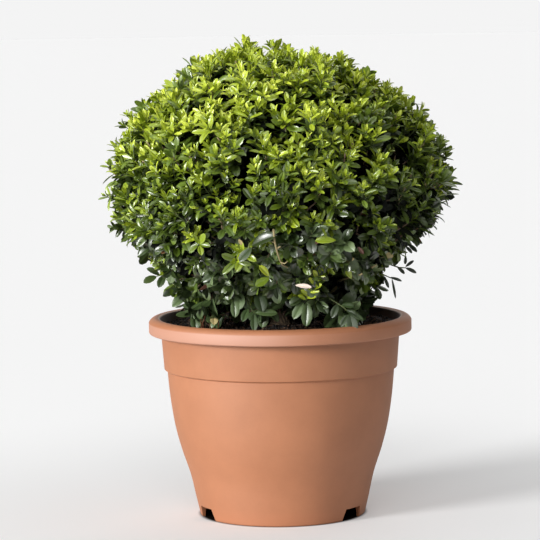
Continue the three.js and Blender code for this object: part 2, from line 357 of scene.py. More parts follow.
def terracottaPlastic():
    # injection-moulded polypropylene, coloured through: matte with a soft sheen, faintly mottled,
    # with a fine moulded grain, a painted reflection on the collar's face, a painted highlight along the lip,
    # and painted shade with compost stain inside the mouth
    material = newMaterial("terracotta polypropylene, moulded", Roughness=0.65, IOR=1.53,
                           Specular_IOR_Level=1.0)
    place = addNode(material, "TexCoord").outputs["Object"]
    clouds = addNode(material, "TexNoise", None,
                     {"Vector": place, "Scale": 1 / (70 * mm), "Detail": 6.0, "Roughness": 0.68})
    grain = addNode(material, "TexNoise", None,
                    {"Vector": place, "Scale": 1 / (1.2 * mm), "Detail": 2.0})  # real grain is 0.3 mm
    tint = addNode(material, "MapRange", None,
                   {"Value": clouds.outputs["Fac"], "From Min": 0.3, "From Max": 0.7})
    colour = addNode(material, "Mix", colourMix,
                     {0: tint.outputs["Result"], 6: linearColour("ad6d45"), 7: linearColour("b9774e")})
    axes = addNode(material, "SeparateXYZ", None, {"Vector": place})
    flat = addNode(material, "VectorMath", {"operation": "MULTIPLY"}, {0: place, 1: (1, 1, 0)})
    away = addNode(material, "VectorMath", {"operation": "LENGTH"}, {0: flat.outputs["Vector"]})
    height, across, radius = axes.outputs["Z"], axes.outputs["X"], away.outputs["Value"]
    p = potSizes
    mouth, turn = p["mouthRadius"], p["rimTurn"]
    # each marked place's colour, wear or painted light, and its limits: a measure, where it starts and is
    # full, least, most, blending
    wearAndPaintedLightPlaces = [
        # near the foot
        ("b8734a", [(height, 22, 4, 0, 0.55, smoothBlend)]),
        # painted reflection of the key light on the collar's face, most at the left
        ("c18b72", [(radius, p["crestRadius"] + 2, p["rimRadius"] - 1, 0, 1, None),
                    (height, turn + 0.8, turn - 0.8, 0, 0.9, smoothBlend),
                    (across, 50, -30, 0.25, 1, smoothBlend)]),
        # painted shade inside the mouth, with compost stain
        ("28180f", [(radius, mouth + 1.8, mouth + 0.2, 0, 1, smoothBlend),
                    (height, p["rimFoot"] + 3, p["rimFoot"] + 5, 0, 0.85, None)]),
        # painted highlight along the lip's inner edge
        ("cdb5a0", [(radius, mouth + 4.2, mouth + 2, 0, 1, smoothBlend),
                    (height, p["height"] - 1.6, p["height"] - 0.9, 0, 0.6, None)]),
    ]
    for wearAndPaintedLightColour, limits in wearAndPaintedLightPlaces:
        wearAndPaintedLightShare = 1.0
        for measure, start, full, least, most, blending in limits:
            limit = addNode(material, "MapRange", blending,
                            {"Value": measure, "From Min": start * mm, "From Max": full * mm,
                             "To Min": least, "To Max": most})
            wearAndPaintedLightShare = addNode(material, "Math", {"operation": "MULTIPLY"},
                           {0: wearAndPaintedLightShare, 1: limit.outputs["Result"]}).outputs["Value"]
        colour = addNode(material, "Mix", colourMix,
                         {0: wearAndPaintedLightShare, 6: colour.outputs[2], 7: linearColour(wearAndPaintedLightColour)})
    relief = addNode(material, "Bump", None,
                     {"Strength": 0.12, "Distance": 0.2 * mm, "Height": grain.outputs["Fac"]})
    feedShader(material, {"Base Color": colour.outputs[2], "Normal": relief.outputs["Normal"]})
    return material


def makePot():
    pot = spinOutline(potOutline(), potSizes["steps"])
    cutter = notchCutters()
    cut = pot.modifiers.new("foot and drain cuts", "BOOLEAN")
    cut.operation = "DIFFERENCE"
    cut.solver = "EXACT"
    cut.object = cutter
    applyModifiers(pot)
    bpy.data.objects.remove(cutter)
    finishPiece(pot, "plastic_pot", ["pot"], [terracottaPlastic()])
    bpy.ops.object.shade_smooth_by_angle(angle=math.radians(32))


makePot()
print("pot made")


# compost

compostSizes = {
    "surface": 239, "gap": 0.35, "rings": 46, "steps": 150,
    # clods, crumbs and grit in the surface, as (height, size)
    "clod": (3.2, 17), "crumb": (1.3, 6), "grit": (0.25, 3),
    "flatAtWall": 14, "flatAtStem": 26, "stemBlend": 20,  # no clods beside the wall and round the stem
    "loose": 2600, "looseSizes": (0.8, 1.0, 1.3, 1.7, 2.4),
    "fibres": 170, "fibreLength": (6, 22),
    "shades": ("120c0a", "24190f", "3d2b1f", "5b4330"),
}


def compostHeight(x, y):
    c = compostSizes
    place = Vector((x, y, 0))
    fromWall = max(0.0, potSizes["neckRadius"] - potSizes["wall"] - place.length)
    fromStem = max(0.0, place.length - c["flatAtStem"])
    free = min(1.0, fromWall / c["flatAtWall"]) * min(1.0, fromStem / c["stemBlend"])
    clod, crumb, grit = (high * noise.noise(place / size)
                         for high, size in (c["clod"], c["crumb"], c["grit"]))
    return c["surface"] + free * (clod + crumb) + grit


def peat():
    # moist peat compost: nearly black, fibrous and rough
    material = newMaterial("peat compost, moist", Roughness=0.95, IOR=1.4)
    place = addNode(material, "TexCoord").outputs["Object"]
    fine = addNode(material, "TexNoise", None,
                   {"Vector": place, "Scale": 1 / (4 * mm), "Detail": 5.0, "Roughness": 0.7})
    tint = addNode(material, "MapRange", None,
                   {"Value": fine.outputs["Fac"], "From Min": 0.4, "From Max": 0.75})
    colour = addNode(material, "Mix", colourMix,
                     {0: tint.outputs["Result"], 6: linearColour("17100d"), 7: linearColour("3a2a20")})
    relief = addNode(material, "Bump", None,
                     {"Strength": 0.8, "Distance": 1.5 * mm, "Height": fine.outputs["Fac"]})
    feedShader(material, {"Base Color": colour.outputs[2], "Normal": relief.outputs["Normal"]})
    return material


def makeCompost():
    c = compostSizes
    inside = insideOfWall()
    bottom = potSizes["baseLift"] + potSizes["wall"] + c["gap"]
    outline = [(0, bottom), (inside[0][0] - 5, bottom)]
    outline += [(radius - c["gap"], height) for radius, height in inside if height < c["surface"] - 2]
    edge = inside[-1][0] - c["gap"]
    outline += [(edge * (1 - i / c["rings"]), c["surface"]) for i in range(c["rings"] + 1)]
    compost = spinOutline(outline, c["steps"])
    for vertex in compost.data.vertices:
        if vertex.co.z > (c["surface"] - 0.5) * mm:
            vertex.co.z = compostHeight(vertex.co.x / mm, vertex.co.y / mm) * mm
    finishPiece(compost, "compost_fill", ["compost"], [peat()])
    bpy.ops.object.shade_smooth()


makeCompost()
print("compost made")


# joined meshes from arrays

def newStore():
    return {"verts": [], "faces": [], "slots": []}


def randomTurn():
    return Vector((dice.gauss(0, 1), dice.gauss(0, 1), dice.gauss(0, 1))).normalized()


def addTube(store, points, radii, sides, slot):
    # a closed tapering tube along the points
    first = len(store["verts"])
    side = points[0].cross(Vector((0.3, 0.5, 0.8)))
    last = len(points) - 1
    for i, point in enumerate(points):
        ahead = (points[min(i + 1, last)] - points[max(i - 1, 0)]).normalized()
        side = side - ahead * side.dot(ahead)
        if side.length < 1e-6:
            side = ahead.orthogonal()
        side.normalize()
        other = ahead.cross(side)
        for k in range(sides):
            angle = 2 * math.pi * k / sides
            store["verts"].append(point + (side * math.cos(angle) + other * math.sin(angle)) * radii[i])
    for i in range(last):
        for k in range(sides):
            a = first + i * sides + k
            b = first + i * sides + (k + 1) % sides
            store["faces"].append((a, b, b + sides, a + sides))
            store["slots"].append(slot)
    store["faces"].append(tuple(first + sides - 1 - k for k in range(sides)))
    store["faces"].append(tuple(first + last * sides + k for k in range(sides)))
    store["slots"] += [slot, slot]


def meshToPiece(points, faces, shades, name, replaced, materials, smooth=True):
    mesh = bpy.data.meshes.new(name)
    mesh.from_pydata(points, [], faces)
    piece = bpy.data.objects.new(name, mesh)
    bpy.context.scene.collection.objects.link(piece)
    finishPiece(piece, name, replaced, materials)
    mesh.polygons.foreach_set("material_index", shades)
    mesh.polygons.foreach_set("use_smooth", [smooth] * len(faces))
    mesh.update()
    return mesh


def storeToPiece(store, name, materials, smooth=True):
    points = [v * mm for v in store["verts"]]
    meshToPiece(points, store["faces"], store["slots"], name, [], materials, smooth)


# leaves

# along, half width
leafOutline = [(0.0, 0.0), (0.14, 0.5), (0.4, 0.93), (0.68, 0.98), (0.9, 0.58), (1.0, 0.0)]
shadedOutline = [(0.0, 0.0), (0.3, 0.9), (0.7, 0.9), (1.0, 0.0)]
# across from the left edge to the right, with how far each line stands over the midrib
leafSection = [(1.0, 0.74), (0.52, 0.76), (0.0, 0.0), (-0.52, 0.76), (-1.0, 0.74)]
shadedSection = [(1.0, 1.0), (0.0, 0.0), (-1.0, 1.0)]


def leafTemplate(outline, section):
    # corners as (along, sideways, lift), then the faces and the corners on the midrib
    corners = [(0.0, 0.0, 0.0)]
    for along, width in outline[1:-1]:
        corners += [(along, width * side, width * lift) for side, lift in section]
    corners.append((1.0, 0.0, 0.0))
    across = len(section)
    stations = len(outline) - 2
    lastStation = 1 + across * (stations - 1)
    tip = len(corners) - 1
    faces = []
    for k in range(across - 1):
        faces.append((0, 2 + k, 1 + k))
        for i in range(stations - 1):
            a = 1 + across * i + k
            faces.append((a, a + 1, a + 1 + across, a + across))
        faces.append((lastStation + k, lastStation + k + 1, tip))
    ribs = [0, tip] + [1 + across // 2 + across * i for i in range(stations)]
    return np.array(corners), faces, ribs


def leavesToPiece(leaves, name, replaced, materials, template):
    corners, faces, ribs = template
    base, along, normal = (np.array([leaf[k] for leaf in leaves]) for k in range(3))
    length, width, fold, curl, shades = (np.array([leaf[k] for leaf in leaves]) for k in range(3, 8))
    side = np.cross(normal, along)
    t, s, lift = (corners[:, k][None, :] for k in range(3))
    curl = np.where(np.abs(curl) < 0.02, 0.02, curl)[:, None]
    bend = curl * t
    lift = lift * (width / 2 * np.sin(fold))[:, None]
    x = length[:, None] * np.sin(bend) / curl + lift * np.sin(bend)
    y = s * (width / 2 * np.cos(fold))[:, None]
    z = -length[:, None] * (1 - np.cos(bend)) / curl + lift * np.cos(bend)
    points = (base[:, None, :] + x[:, :, None] * along[:, None, :]
              + y[:, :, None] * side[:, None, :] + z[:, :, None] * normal[:, None, :])
    count = len(corners)
    allFaces = [tuple(k + i * count for k in face) for i in range(len(leaves)) for face in faces]
    mesh = meshToPiece((points.reshape(-1, 3) * mm).tolist(), allFaces,
                       np.repeat(shades.astype(int), len(faces)), name, replaced, materials)
    # the midrib is a crease
    ends = np.empty(2 * len(mesh.edges), int)
    mesh.edges.foreach_get("vertices", ends)
    isRib = np.isin(ends.reshape(-1, 2) % count, ribs).all(axis=1)
    mesh.edges.foreach_set("use_edge_sharp", isRib)
    mesh.update()


leafLook = {
    # colours from the yellowest to the deepest, the roughness, and how strongly the wax mirrors
    "fresh": (["d4e04c", "bfce3a", "a6b82a", "8ca021", "6a801d", "4b5f14"], 0.34, 0.85),
    "grown": (["6c832a", "566c25", "42531c", "303e17"], 0.36, 0.85),
    "old": (["3b4e22", "4f622e", "2a3818", "677a4c"], 0.37, 1.0),
    "skirt": (["3e522a", "2f3f1f", "4e6236", "61754a"], 0.42, 0.75),
    # the shaded leaves' near-black colours are painted shade
    "shaded": (["0a0e07", "10150a", "141c0c", "19210f"], 0.6, 0.2),
    "dead": (["b9a873", "8f6240", "f0dccd", "4f3023"], 0.6, 0.4),
}


def leafMaterials(kind):
    # box leaves: waxy and glossy above, the youngest thin and yellow-green, the oldest deep blue-green, and
    # the shaded ones near-black as painted shade
    colours, roughness, mirrors = leafLook[kind]
    return [
        newMaterial(f"{kind} box leaf, shade {i + 1}", Base_Color=linearColour(c), Roughness=roughness,
                    IOR=1.6, Specular_IOR_Level=mirrors)
        for i, c in enumerate(colours)
    ]


# width by length, fold along the midrib, curl to the tip, unevenness, and how far it starts from the shoot's
# middle: old and skirt leaves share a shape, and the foot of a fresh shoot has grown leaves
leafShapes = {
    "fresh": {"slim": 0.41, "fold": 0.5, "curl": 0.5, "wobble": 0.22, "radius": 0.8},
    "grown": {"slim": 0.47, "fold": 0.3, "curl": 0.5, "wobble": 0.42, "radius": 0.9},
    "old": {"slim": 0.56, "fold": 0.3, "curl": 0.5, "wobble": 0.42, "radius": 0.9},
    "foot": {"slim": 0.46, "fold": 0.3, "curl": 0.4, "wobble": 0.3, "radius": 0.9},
    "placed": {"fold": 0.34, "curl": 0.4, "wobble": 0.08},
}
leafShapes["skirt"] = leafShapes["old"]
# how single leaves differ: shares of their width, fold, curl and length, and the angle in radians
leafVaries = {
    "slim": (0.9, 1.1), "fold": (0.5, 1.4), "curl": (-0.2, 1.6), "length": (0.84, 1.14), "angle": 0.14,
}
leafBeds = {kind: [] for kind in leafLook}


def addLeaf(kind, base, direction, normal, length, shade, slim, fold, curl, wobble=0.3):
    turn = Quaternion(randomTurn(), dice.gauss(0, wobble))
    direction = (turn @ direction).normalized()
    normal = turn @ normal
    normal = (normal - direction * normal.dot(direction)).normalized()
    v = leafVaries
    width = length * slim * dice.uniform(*v["slim"])
    leafBeds[kind].append((tuple(base), tuple(direction), tuple(normal), length, width,
                           fold * dice.uniform(*v["fold"]), curl * dice.uniform(*v["curl"]), shade))


def addPair(kind, place, axis, turn, angle, length, shade, radius, **shape):
    # two opposite leaves, their upper sides towards the shoot's tip
    sideways = Quaternion(axis, turn) @ axis.orthogonal().normalized()
    for sign in (1, -1):
        outward = sideways * sign
        spread = angle + dice.gauss(0, leafVaries["angle"])
        direction = axis * math.cos(spread) + outward * math.sin(spread)
        normal = axis * math.sin(spread) - outward * math.cos(spread)
        start = place + outward * radius * 0.7
        size = length * dice.uniform(*leafVaries["length"])
        addLeaf(kind, start, direction, normal, size, shade, **shape)


def curvedPath(start, heading, end, steps, sway):
    # leaves along the heading and bends to the end, a little uneven
    reach = (end - start).length
    bend = start + heading * reach * 0.45
    points = []
    for i in range(steps + 1):
        t = i / steps
        point = start * (1 - t) ** 2 + bend * (2 * t * (1 - t)) + end * (t * t)
        if 0 < i < steps:
            point = point + randomTurn() * sway * reach
        points.append(point)
    return points


def alongPath(points, fromEnd):
    # the place and direction at a distance back from the path's end
    left = fromEnd
    for i in range(len(points) - 1, 0, -1):
        step = points[i] - points[i - 1]
        if left <= step.length or i == 1:
            return points[i] - step.normalized() * min(left, step.length), step.normalized()
        left -= step.length


def addShadedLeaves(path, places, angle, lengths, radius, slim, greenerTo=0):
    # crossed pairs at their distances back from the path's end, in the dark of the crown, near-black as
    # painted shade
    turn = dice.uniform(0, math.pi)
    for back in places:
        place, axis = alongPath(path, back)
        addPair("shaded", place, axis, turn, math.radians(angle), dice.uniform(*lengths),
                dice.randrange(2) + (2 if back < greenerTo else 0), radius, slim=slim, fold=0.2, curl=0.4)
        turn += math.pi / 2


# crown

crownSizes = {
    "middle": (2.5, 0, 415), "foot": 265, "height": 330, "underside": 27,
    "spacing": 23.2, "lowSpacing": 28,  # between sprays, at the top and low down
    "spacingVaries": (0.84, 0.26, 60), "tries": 40000,
    "base": 27,  # how far under the surface a spray starts
    "gapSize": 24, "gapBelow": -0.45, "sunkBelow": -0.05, "sunkBy": 48,
    "hollowDepth": 46, "strewnHollows": 22, "strewnRadius": 17,
    "rise": 1.3, "uneven": 0.28,  # how far a fresh spray turns up, and how far it strays
    "clipped": (2, 11), "longShoots": 0.09, "longBy": (5, 12),
    "tipDepth": (-9, 5), "middleTip": (0, 5), "startVaries": 1.5,
    "stubs": 0.35, "stubReach": 8,
    # where old leaves begin and over how much they take over, as shares of the height, and their patches
    "oldFrom": 0.44, "oldOver": 0.28, "oldPatch": 38,
    "olderAtTop": 0.04, "olderLow": 0.80, "oldestLow": 0.65,  # chances of grown and of old leaves
    "withered": {"grown": 45, "old": 22},
}
# where the ball is drawn in, or out with a minus, as (depth, x from and to, z from and to)
drawnIn = [
    (21, 90, 150, 425, 350),  # under the right side
    (8, -120, -170, 360, 310),  # under the left side
    (-6, -15, -50, 535, 565),  # left of the top
    (6, -999, -998, 530, 580),  # all over the top
    (7, 70, 120, 490, 530),  # the right shoulder
]
# how much deeper the leaves' colour gets, by place, by depth, in patches and by chance; to the right, at the
# left and in sunk sprays this is painted shade
toneSizes = {
    "start": 0.2, "down": 2.1, "right": 0.8, "old": 0.5,
    "sunk": 0.03, "left": 0.35, "patches": 1.1, "patchSize": 70, "chance": 0.5,
}
# dark hollows between the tufts at the front, as (x, z, radius)
frontHollows = [
    (-98, 491, 16), (-31, 475, 15), (-8, 502, 15), (150, 480, 21), (163, 456, 18), (107, 458, 16),
    (84, 391, 20), (52, 409, 15), (103, 355, 21), (156, 394, 18), (124, 333, 17), (-73, 341, 16),
    (-106, 393, 14), (128, 410, 16), (35, 342, 14), (4, 326, 9),
]
twigs = newStore()
shoots = newStore()
crownMiddle = Vector(crownSizes["middle"])


def share(value, start, end):
    return max(0.0, min(1.0, (value - start) / (end - start)))


def lowShare(place):
    # 1 where the old leaves are, 0 where the crown is freshly grown over
    c = crownSizes
    height = (place.z - c["foot"]) / c["height"] + 0.2 * noise.noise(place / c["oldPatch"])
    return max(0.0, min(1.0, (c["oldFrom"] - height) / c["oldOver"]))


def crownSurface():
    # evenly spread places on the clipped surface
    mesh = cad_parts["clipped_crown"].data
    corners = np.array([[mesh.vertices[v].co for v in face.vertices] for face in mesh.polygons]) / mm
    a, b, c = corners[:, 0], corners[:, 1], corners[:, 2]
    areas = np.linalg.norm(np.cross(b - a, c - a), axis=1) / 2
    picker = np.random.default_rng(5)
    chosen = picker.choice(len(areas), crownSizes["tries"], p=areas / areas.sum())
    u, v = picker.random((2, crownSizes["tries"]))
    u, v = np.where(u + v > 1, 1 - u, u), np.where(u + v > 1, 1 - v, v)
    tries = a[chosen] + u[:, None] * (b - a)[chosen] + v[:, None] * (c - a)[chosen]
    least, more, patch = crownSizes["spacingVaries"]
    widest = crownSizes["lowSpacing"] * 1.1
    cells = {}
    places = []
    for point in tries:
        place = Vector(point)
        outward = place - crownMiddle
        if outward.angle(-zAxis) < math.radians(crownSizes["underside"]):
            continue
        cell = tuple(int(n // widest) for n in place)
        near = [p for dx in (-1, 0, 1) for dy in (-1, 0, 1) for dz in (-1, 0, 1)
                for p in cells.get((cell[0] + dx, cell[1] + dy, cell[2] + dz), ())]
        spacing = crownSizes["spacing"] + (crownSizes["lowSpacing"] - crownSizes["spacing"]) * lowShare(place)
        gap = spacing * (least + more * noise.noise(place / patch))
        if all((place - p).length > gap for p in near):
            cells.setdefault(cell, []).append(place)
            places.append(place)
    return places


def hollowShare(place, strewn):
    # 1 in the middle of a hollow, 0 outside them all
    if place.y < -20:
        nearness = [math.hypot(place.x - x, place.z - z) / radius for x, z, radius in frontHollows]
    else:
        nearness = [(place - spot).length / crownSizes["strewnRadius"] for spot in strewn]
    return max(0.0, 1 - min(nearness) ** 3)


def spraysOnCrown():
    c, t = crownSizes, toneSizes
    sprays = []
    places = crownSurface()
    strewn = dice.sample([place for place in places if place.y > 10], c["strewnHollows"])
    for place in places:
        outward = (place - crownMiddle).normalized()
        openness = noise.noise(place / c["gapSize"])
        if openness < c["gapBelow"]:
            continue
        low = lowShare(place)
        heading = (outward + zAxis * (c["rise"] * (1 - low)) + randomTurn() * c["uneven"]).normalized()
        sunk = max(0.0, c["sunkBelow"] - openness) * c["sunkBy"]
        sunk += hollowShare(place, strewn) * c["hollowDepth"]
        for depth, fromX, toX, fromZ, toZ in drawnIn:
            sunk += depth * share(place.x, fromX, toX) * share(place.z, fromZ, toZ)
        stretch = dice.uniform(*c["longBy"]) if dice.random() < c["longShoots"] else 0
        place = place - outward * (sunk + dice.uniform(*c["clipped"]) - stretch)
        base = place - heading * c["base"] * dice.uniform(0.85, 1.2)
        # painted shade: the colour is deeper to the right, away from the key light, deeper at the left to
        # temper it, and deeper in sunk sprays
        tone = (t["start"] + t["down"] * share(place.z, 540, 390) + t["right"] * share(place.x, 50, 130)
                + t["old"] * low)
        tone += (t["sunk"] * max(0.0, sunk) + t["left"] * share(-place.x, 50, 120)
                 + t["patches"] * noise.noise(place / t["patchSize"]) + dice.gauss(0, t["chance"]))
        sprays.append({"base": base, "heading": heading, "place": place, "low": low, "tone": tone})
    return sprays


def shadeFor(tone, spread, last):
    return max(0, min(last, round(tone + dice.gauss(0, spread))))


shootSizes = {
    "pairs": 6, "freshPairs": 4,  # at most on a shoot, and how many of a fresh one's are fresh
    # of a full leaf's length, at the tip and more with each pair
    "tipShare": {"fresh": 0.47, "grown": 0.62, "old": 0.62, "skirt": 0.62}, "moreShare": 0.21,
    "angle": 15, "moreAngle": 14, "mostAngle": 68,
    "tipGap": 0.8, "gap": 0.15, "moreGap": 0.07,  # between pairs, as a share of the leaf
    "radii": [1.0, 0.9, 0.8, 0.65, 0.5],
    # each kind's shade by tone: what is added, more with each pair, how it spreads, and the last shade
    "shades": {"fresh": (-0.2, 0.75, 0.5, 5), "foot": (-0.6, 0, 0.7, 3), "grown": (-1.8, 0, 0.9, 3)},
}


def growShoot(start, heading, tip, tone, size, kind):
    # one leafy shoot: the freshest and smallest leaves at its tip
    s = shootSizes
    path = curvedPath(start, heading, tip, 4, 0.03)
    length = sum((b - a).length for a, b in zip(path, path[1:]))
    addTube(shoots, path, s["radii"], 4, 0 if kind == "fresh" else 1)
    turn = dice.uniform(0, math.pi)
    tone += dice.gauss(0, 0.35)
    back = s["tipGap"]
    step = 0
    while back < length and step < s["pairs"]:
        place, axis = alongPath(path, back)
        grown = min(1.0, s["tipShare"][kind] + s["moreShare"] * step)
        angle = math.radians(min(s["mostAngle"], s["angle"] + s["moreAngle"] * step))
        shape = "foot" if kind == "fresh" and step >= s["freshPairs"] else kind
        if shape in s["shades"]:
            added, more, spread, last = s["shades"][shape]
            shade = shadeFor(tone + added + more * step, spread, last)
        else:
            shade = dice.randrange(4)
        bed = "grown" if shape == "foot" else kind
        addPair(bed, place, axis, turn, angle, size * grown, shade, **leafShapes[shape])
        turn += math.pi / 2 + dice.gauss(0, 0.2)
        back += size * (s["gap"] + s["moreGap"] * min(step, 4)) * dice.uniform(0.85, 1.15)
        step += 1


# how each kind of spray grows: its leaves' length and how much of it, its shoots, and how wide they part
sprayKinds = {
    "fresh": ((15.5, 23), 1, (2, 3, 3, 4), (6, 14)),
    "grown": ((21, 28), 0.82, (1, 2, 2, 3), (8, 18)),
    "old": ((21, 28), 1, (1, 2, 2, 3), (8, 18)),
}
sprayKinds["skirt"] = sprayKinds["old"]


def growSpray(spray, fromPath):
    # a few shoots that part where the twig was last clipped
    c = crownSizes
    low = spray["low"]
    if spray.get("skirt"):
        kind = "skirt"
    elif dice.random() < c["olderAtTop"] + c["olderLow"] * low:
        kind = "old" if dice.random() < c["oldestLow"] * low else "grown"
    else:
        kind = "fresh"
    lengths, smaller, counts, widths = sprayKinds[kind]
    size = dice.uniform(*lengths) * smaller
    count = dice.choice(counts)
    heading = spray["heading"]
    first = dice.uniform(0, 2 * math.pi)
    for k in range(count):
        sideways = Quaternion(heading, first + k * 2 * math.pi / count) @ heading.orthogonal().normalized()
        spreadOut = dice.uniform(*widths) if k else dice.uniform(*c["middleTip"])
        tip = spray["place"] + sideways * spreadOut + heading * dice.uniform(*c["tipDepth"])
        start = spray["base"] + randomTurn() * c["startVaries"]
        growShoot(start, (heading + sideways * 0.5).normalized(), tip, spray["tone"], size, kind)
    if dice.random() < c["stubs"]:
        reach = c["stubReach"]
        stub = spray["place"] + heading.orthogonal() * dice.uniform(-reach, reach)
        stub -= heading * dice.uniform(0, reach)
        path = curvedPath(spray["base"], heading, stub, 3, 0.05)
        addTube(shoots, path, [1.1, 1.0, 0.9, 0.95], 5, dice.choice((1, 2)))
    # older leaves further down the twig, in deep shade, near-black as painted shade
    addShadedLeaves(fromPath, (2, 11, 21, 32, 46), angle=68, lengths=(20, 25), radius=1.0, slim=0.52,
                    greenerTo=5)


def twigRadius(count):
    return 1.05 * count ** 0.33


def growInnerTwig(start):
    # a side twig that never reaches the light, with the last of its leaves, near-black as painted shade
    inward = (crownMiddle - start).normalized()
    heading = (inward * 0.9 + randomTurn()).normalized()
    path = curvedPath(start, heading, start + heading * dice.uniform(30, 44), 3, 0.04)
    addTube(twigs, path, [1.0, 0.9, 0.8, 0.7], 4, 1)
    addShadedLeaves(path, (1, 11, 21, 31), angle=62, lengths=(23, 29), radius=0.8, slim=0.56)


forkSizes = {
    "reach": (0.34, 0.5), "sway": 4, "straight": 0.4,  # where a limb forks on its way to its sprays
    "split": (0.36, 0.64),  # the share of the sprays that the first branch takes
    "olderWood": 6, "leafy": 17,  # by the number of sprays: older wood over the one, leaves under the other
    "leafGap": 10,
    "hollow": 38,  # an inner twig grows where no spray is this near
}


def growLimb(start, heading, sprays):
    # a limb forks until each twig feeds one spray
    if len(sprays) == 1:
        spray = sprays[0]
        path = curvedPath(start, heading, spray["base"], 4, 0.02)
        addTube(twigs, path, [1.3, 1.2, 1.1, 1.05, 1.0], 4, 0)
        growSpray(spray, path)
        return
    f = forkSizes
    centre = sum((s["base"] for s in sprays), Vector()) / len(sprays)
    fork = start + (centre - start) * dice.uniform(*f["reach"]) + randomTurn() * f["sway"]
    newHeading = ((fork - start).normalized() + heading * f["straight"]).normalized()
    radius = twigRadius(len(sprays))
    path = curvedPath(start, heading, fork, 3, 0.025)
    wood = 1 if len(sprays) > f["olderWood"] else 0
    addTube(twigs, path, [radius * 1.1, radius * 1.03, radius, radius * 0.95], 5, wood)
    if len(sprays) < f["leafy"]:
        places = range(1, max(2, int((fork - start).length)), f["leafGap"])
        addShadedLeaves(path, places, angle=70, lengths=(22, 27), radius=radius, slim=0.54)
        if min((s["place"] - fork).length for s in sprays) > f["hollow"]:
            growInnerTwig(fork)
    spots = np.array([s["base"] - fork for s in sprays])
    spots = spots / np.linalg.norm(spots, axis=1)[:, None]
    axis = np.linalg.svd(spots - spots.mean(axis=0), full_matrices=False)[2][0]
    order = np.argsort(spots @ axis)
    middle = max(1, min(len(sprays) - 1, round(len(sprays) * dice.uniform(*f["split"]))))
    growLimb(fork, newHeading, [sprays[i] for i in order[:middle]])
    growLimb(fork, newHeading, [sprays[i] for i in order[middle:]])


# stem and boughs

limbSizes = {
    "foot": 239.3, "footRadius": 24, "neckRadius": 15, "forkRadius": 14, "flare": 11,
    "fork": (3, -1.5, 270.3), "steps": 9, "sides": 14,
    "boughSteps": 8, "boughSides": 10, "barkSize": 6, "barkRelief": 1.6,
    "boughs": 7, "baseRadius": 6.6, "tipRadius": 4.6, "firstTurn": 12,
    "reach": 62, "reachVaries": 5, "rise": 42,
    "startDepth": 12.5, "stagger": 5, "leaderReach": 12, "leaderDepth": 4,
}
forkPoint = Vector(limbSizes["fork"])


def boughPath(index):
    b = limbSizes
    steps = b["boughSteps"]
    isLeader = index == b["boughs"] - 1
    turn = math.radians(b["firstTurn"] + index * 360 / (b["boughs"] - 1))
    outward = Vector((math.cos(turn), math.sin(turn), 0))
    lower = b["stagger"] * (index % 2)
    reach = b["leaderReach"] if isLeader else b["reach"] + b["reachVaries"] * math.sin(2.3 * index)
    depth = b["leaderDepth"] if isLeader else b["startDepth"] + lower
    rise = b["rise"] if isLeader else b["rise"] - lower
    start = forkPoint - zAxis * depth
    bend = start + outward * 0.62 * reach + zAxis * 0.34 * rise
    end = start + outward * reach + zAxis * rise
    return [start * (1 - t) ** 2 + bend * (2 * t * (1 - t)) + end * (t * t)
            for t in (i / steps for i in range(steps + 1))]


def bark():
    # box bark: thin, pale grey-brown and finely cracked along the limb
    material = newMaterial("box bark, weathered", Roughness=0.85, IOR=1.45)
    place = addNode(material, "TexCoord").outputs["Object"]
    stretched = addNode(material, "Mapping", None, {"Vector": place, "Scale": (1, 1, 0.35)})
    cracks = addNode(material, "TexVoronoi", {"feature": "DISTANCE_TO_EDGE"},
                     {"Vector": stretched.outputs["Vector"], "Scale": 1 / (5 * mm)})
    tint = addNode(material, "MapRange", None,
                   {"Value": cracks.outputs["Distance"], "From Max": 0.25})
    colour = addNode(material, "Mix", colourMix,
                     {0: tint.outputs["Result"], 6: linearColour("3a2e23"), 7: linearColour("75634c")})
    relief = addNode(material, "Bump", None,
                     {"Strength": 0.7, "Distance": 0.8 * mm, "Height": tint.outputs["Result"]})
    feedShader(material, {"Base Color": colour.outputs[2], "Normal": relief.outputs["Normal"]})
    return material


def extrudeLimb(points, radii, sides):
    # a ring that is extruded from point to point and narrowed as it goes
    deselectAll()
    ahead = (points[1] - points[0]).normalized()
    turn = ahead.to_track_quat("Z", "Y").to_euler()
    bpy.ops.mesh.primitive_circle_add(vertices=sides, radius=radii[0] * mm, fill_type="NGON",
                                      location=points[0] * mm, rotation=turn)
    limb = bpy.context.active_object
    bpy.ops.object.transform_apply(location=True, rotation=True, scale=True)
    bpy.ops.object.mode_set(mode="EDIT")
    selectWhole()
    for i in range(1, len(points)):
        step = (points[i] - points[i - 1]) * mm
        shrink = radii[i] / radii[i - 1]
        bpy.ops.mesh.extrude_region_move(TRANSFORM_OT_translate={"value": step})
        bpy.ops.transform.resize(value=(shrink, shrink, shrink), center_override=points[i] * mm)
    selectWhole()
    bpy.ops.mesh.normals_make_consistent(inside=False)
    bpy.ops.object.mode_set(mode="OBJECT")
    smooth = limb.modifiers.new("rounding", "SUBSURF")
    smooth.levels = smooth.render_levels = 2
    texture = bpy.data.textures.new("bark relief", "CLOUDS")
    texture.noise_scale = limbSizes["barkSize"] * mm
    relief = limb.modifiers.new("bark relief", "DISPLACE")
    relief.texture = texture
    relief.texture_coords = "LOCAL"
    relief.strength = limbSizes["barkRelief"] * mm
    relief.mid_level = 0.5
    applyModifiers(limb)
    return limb


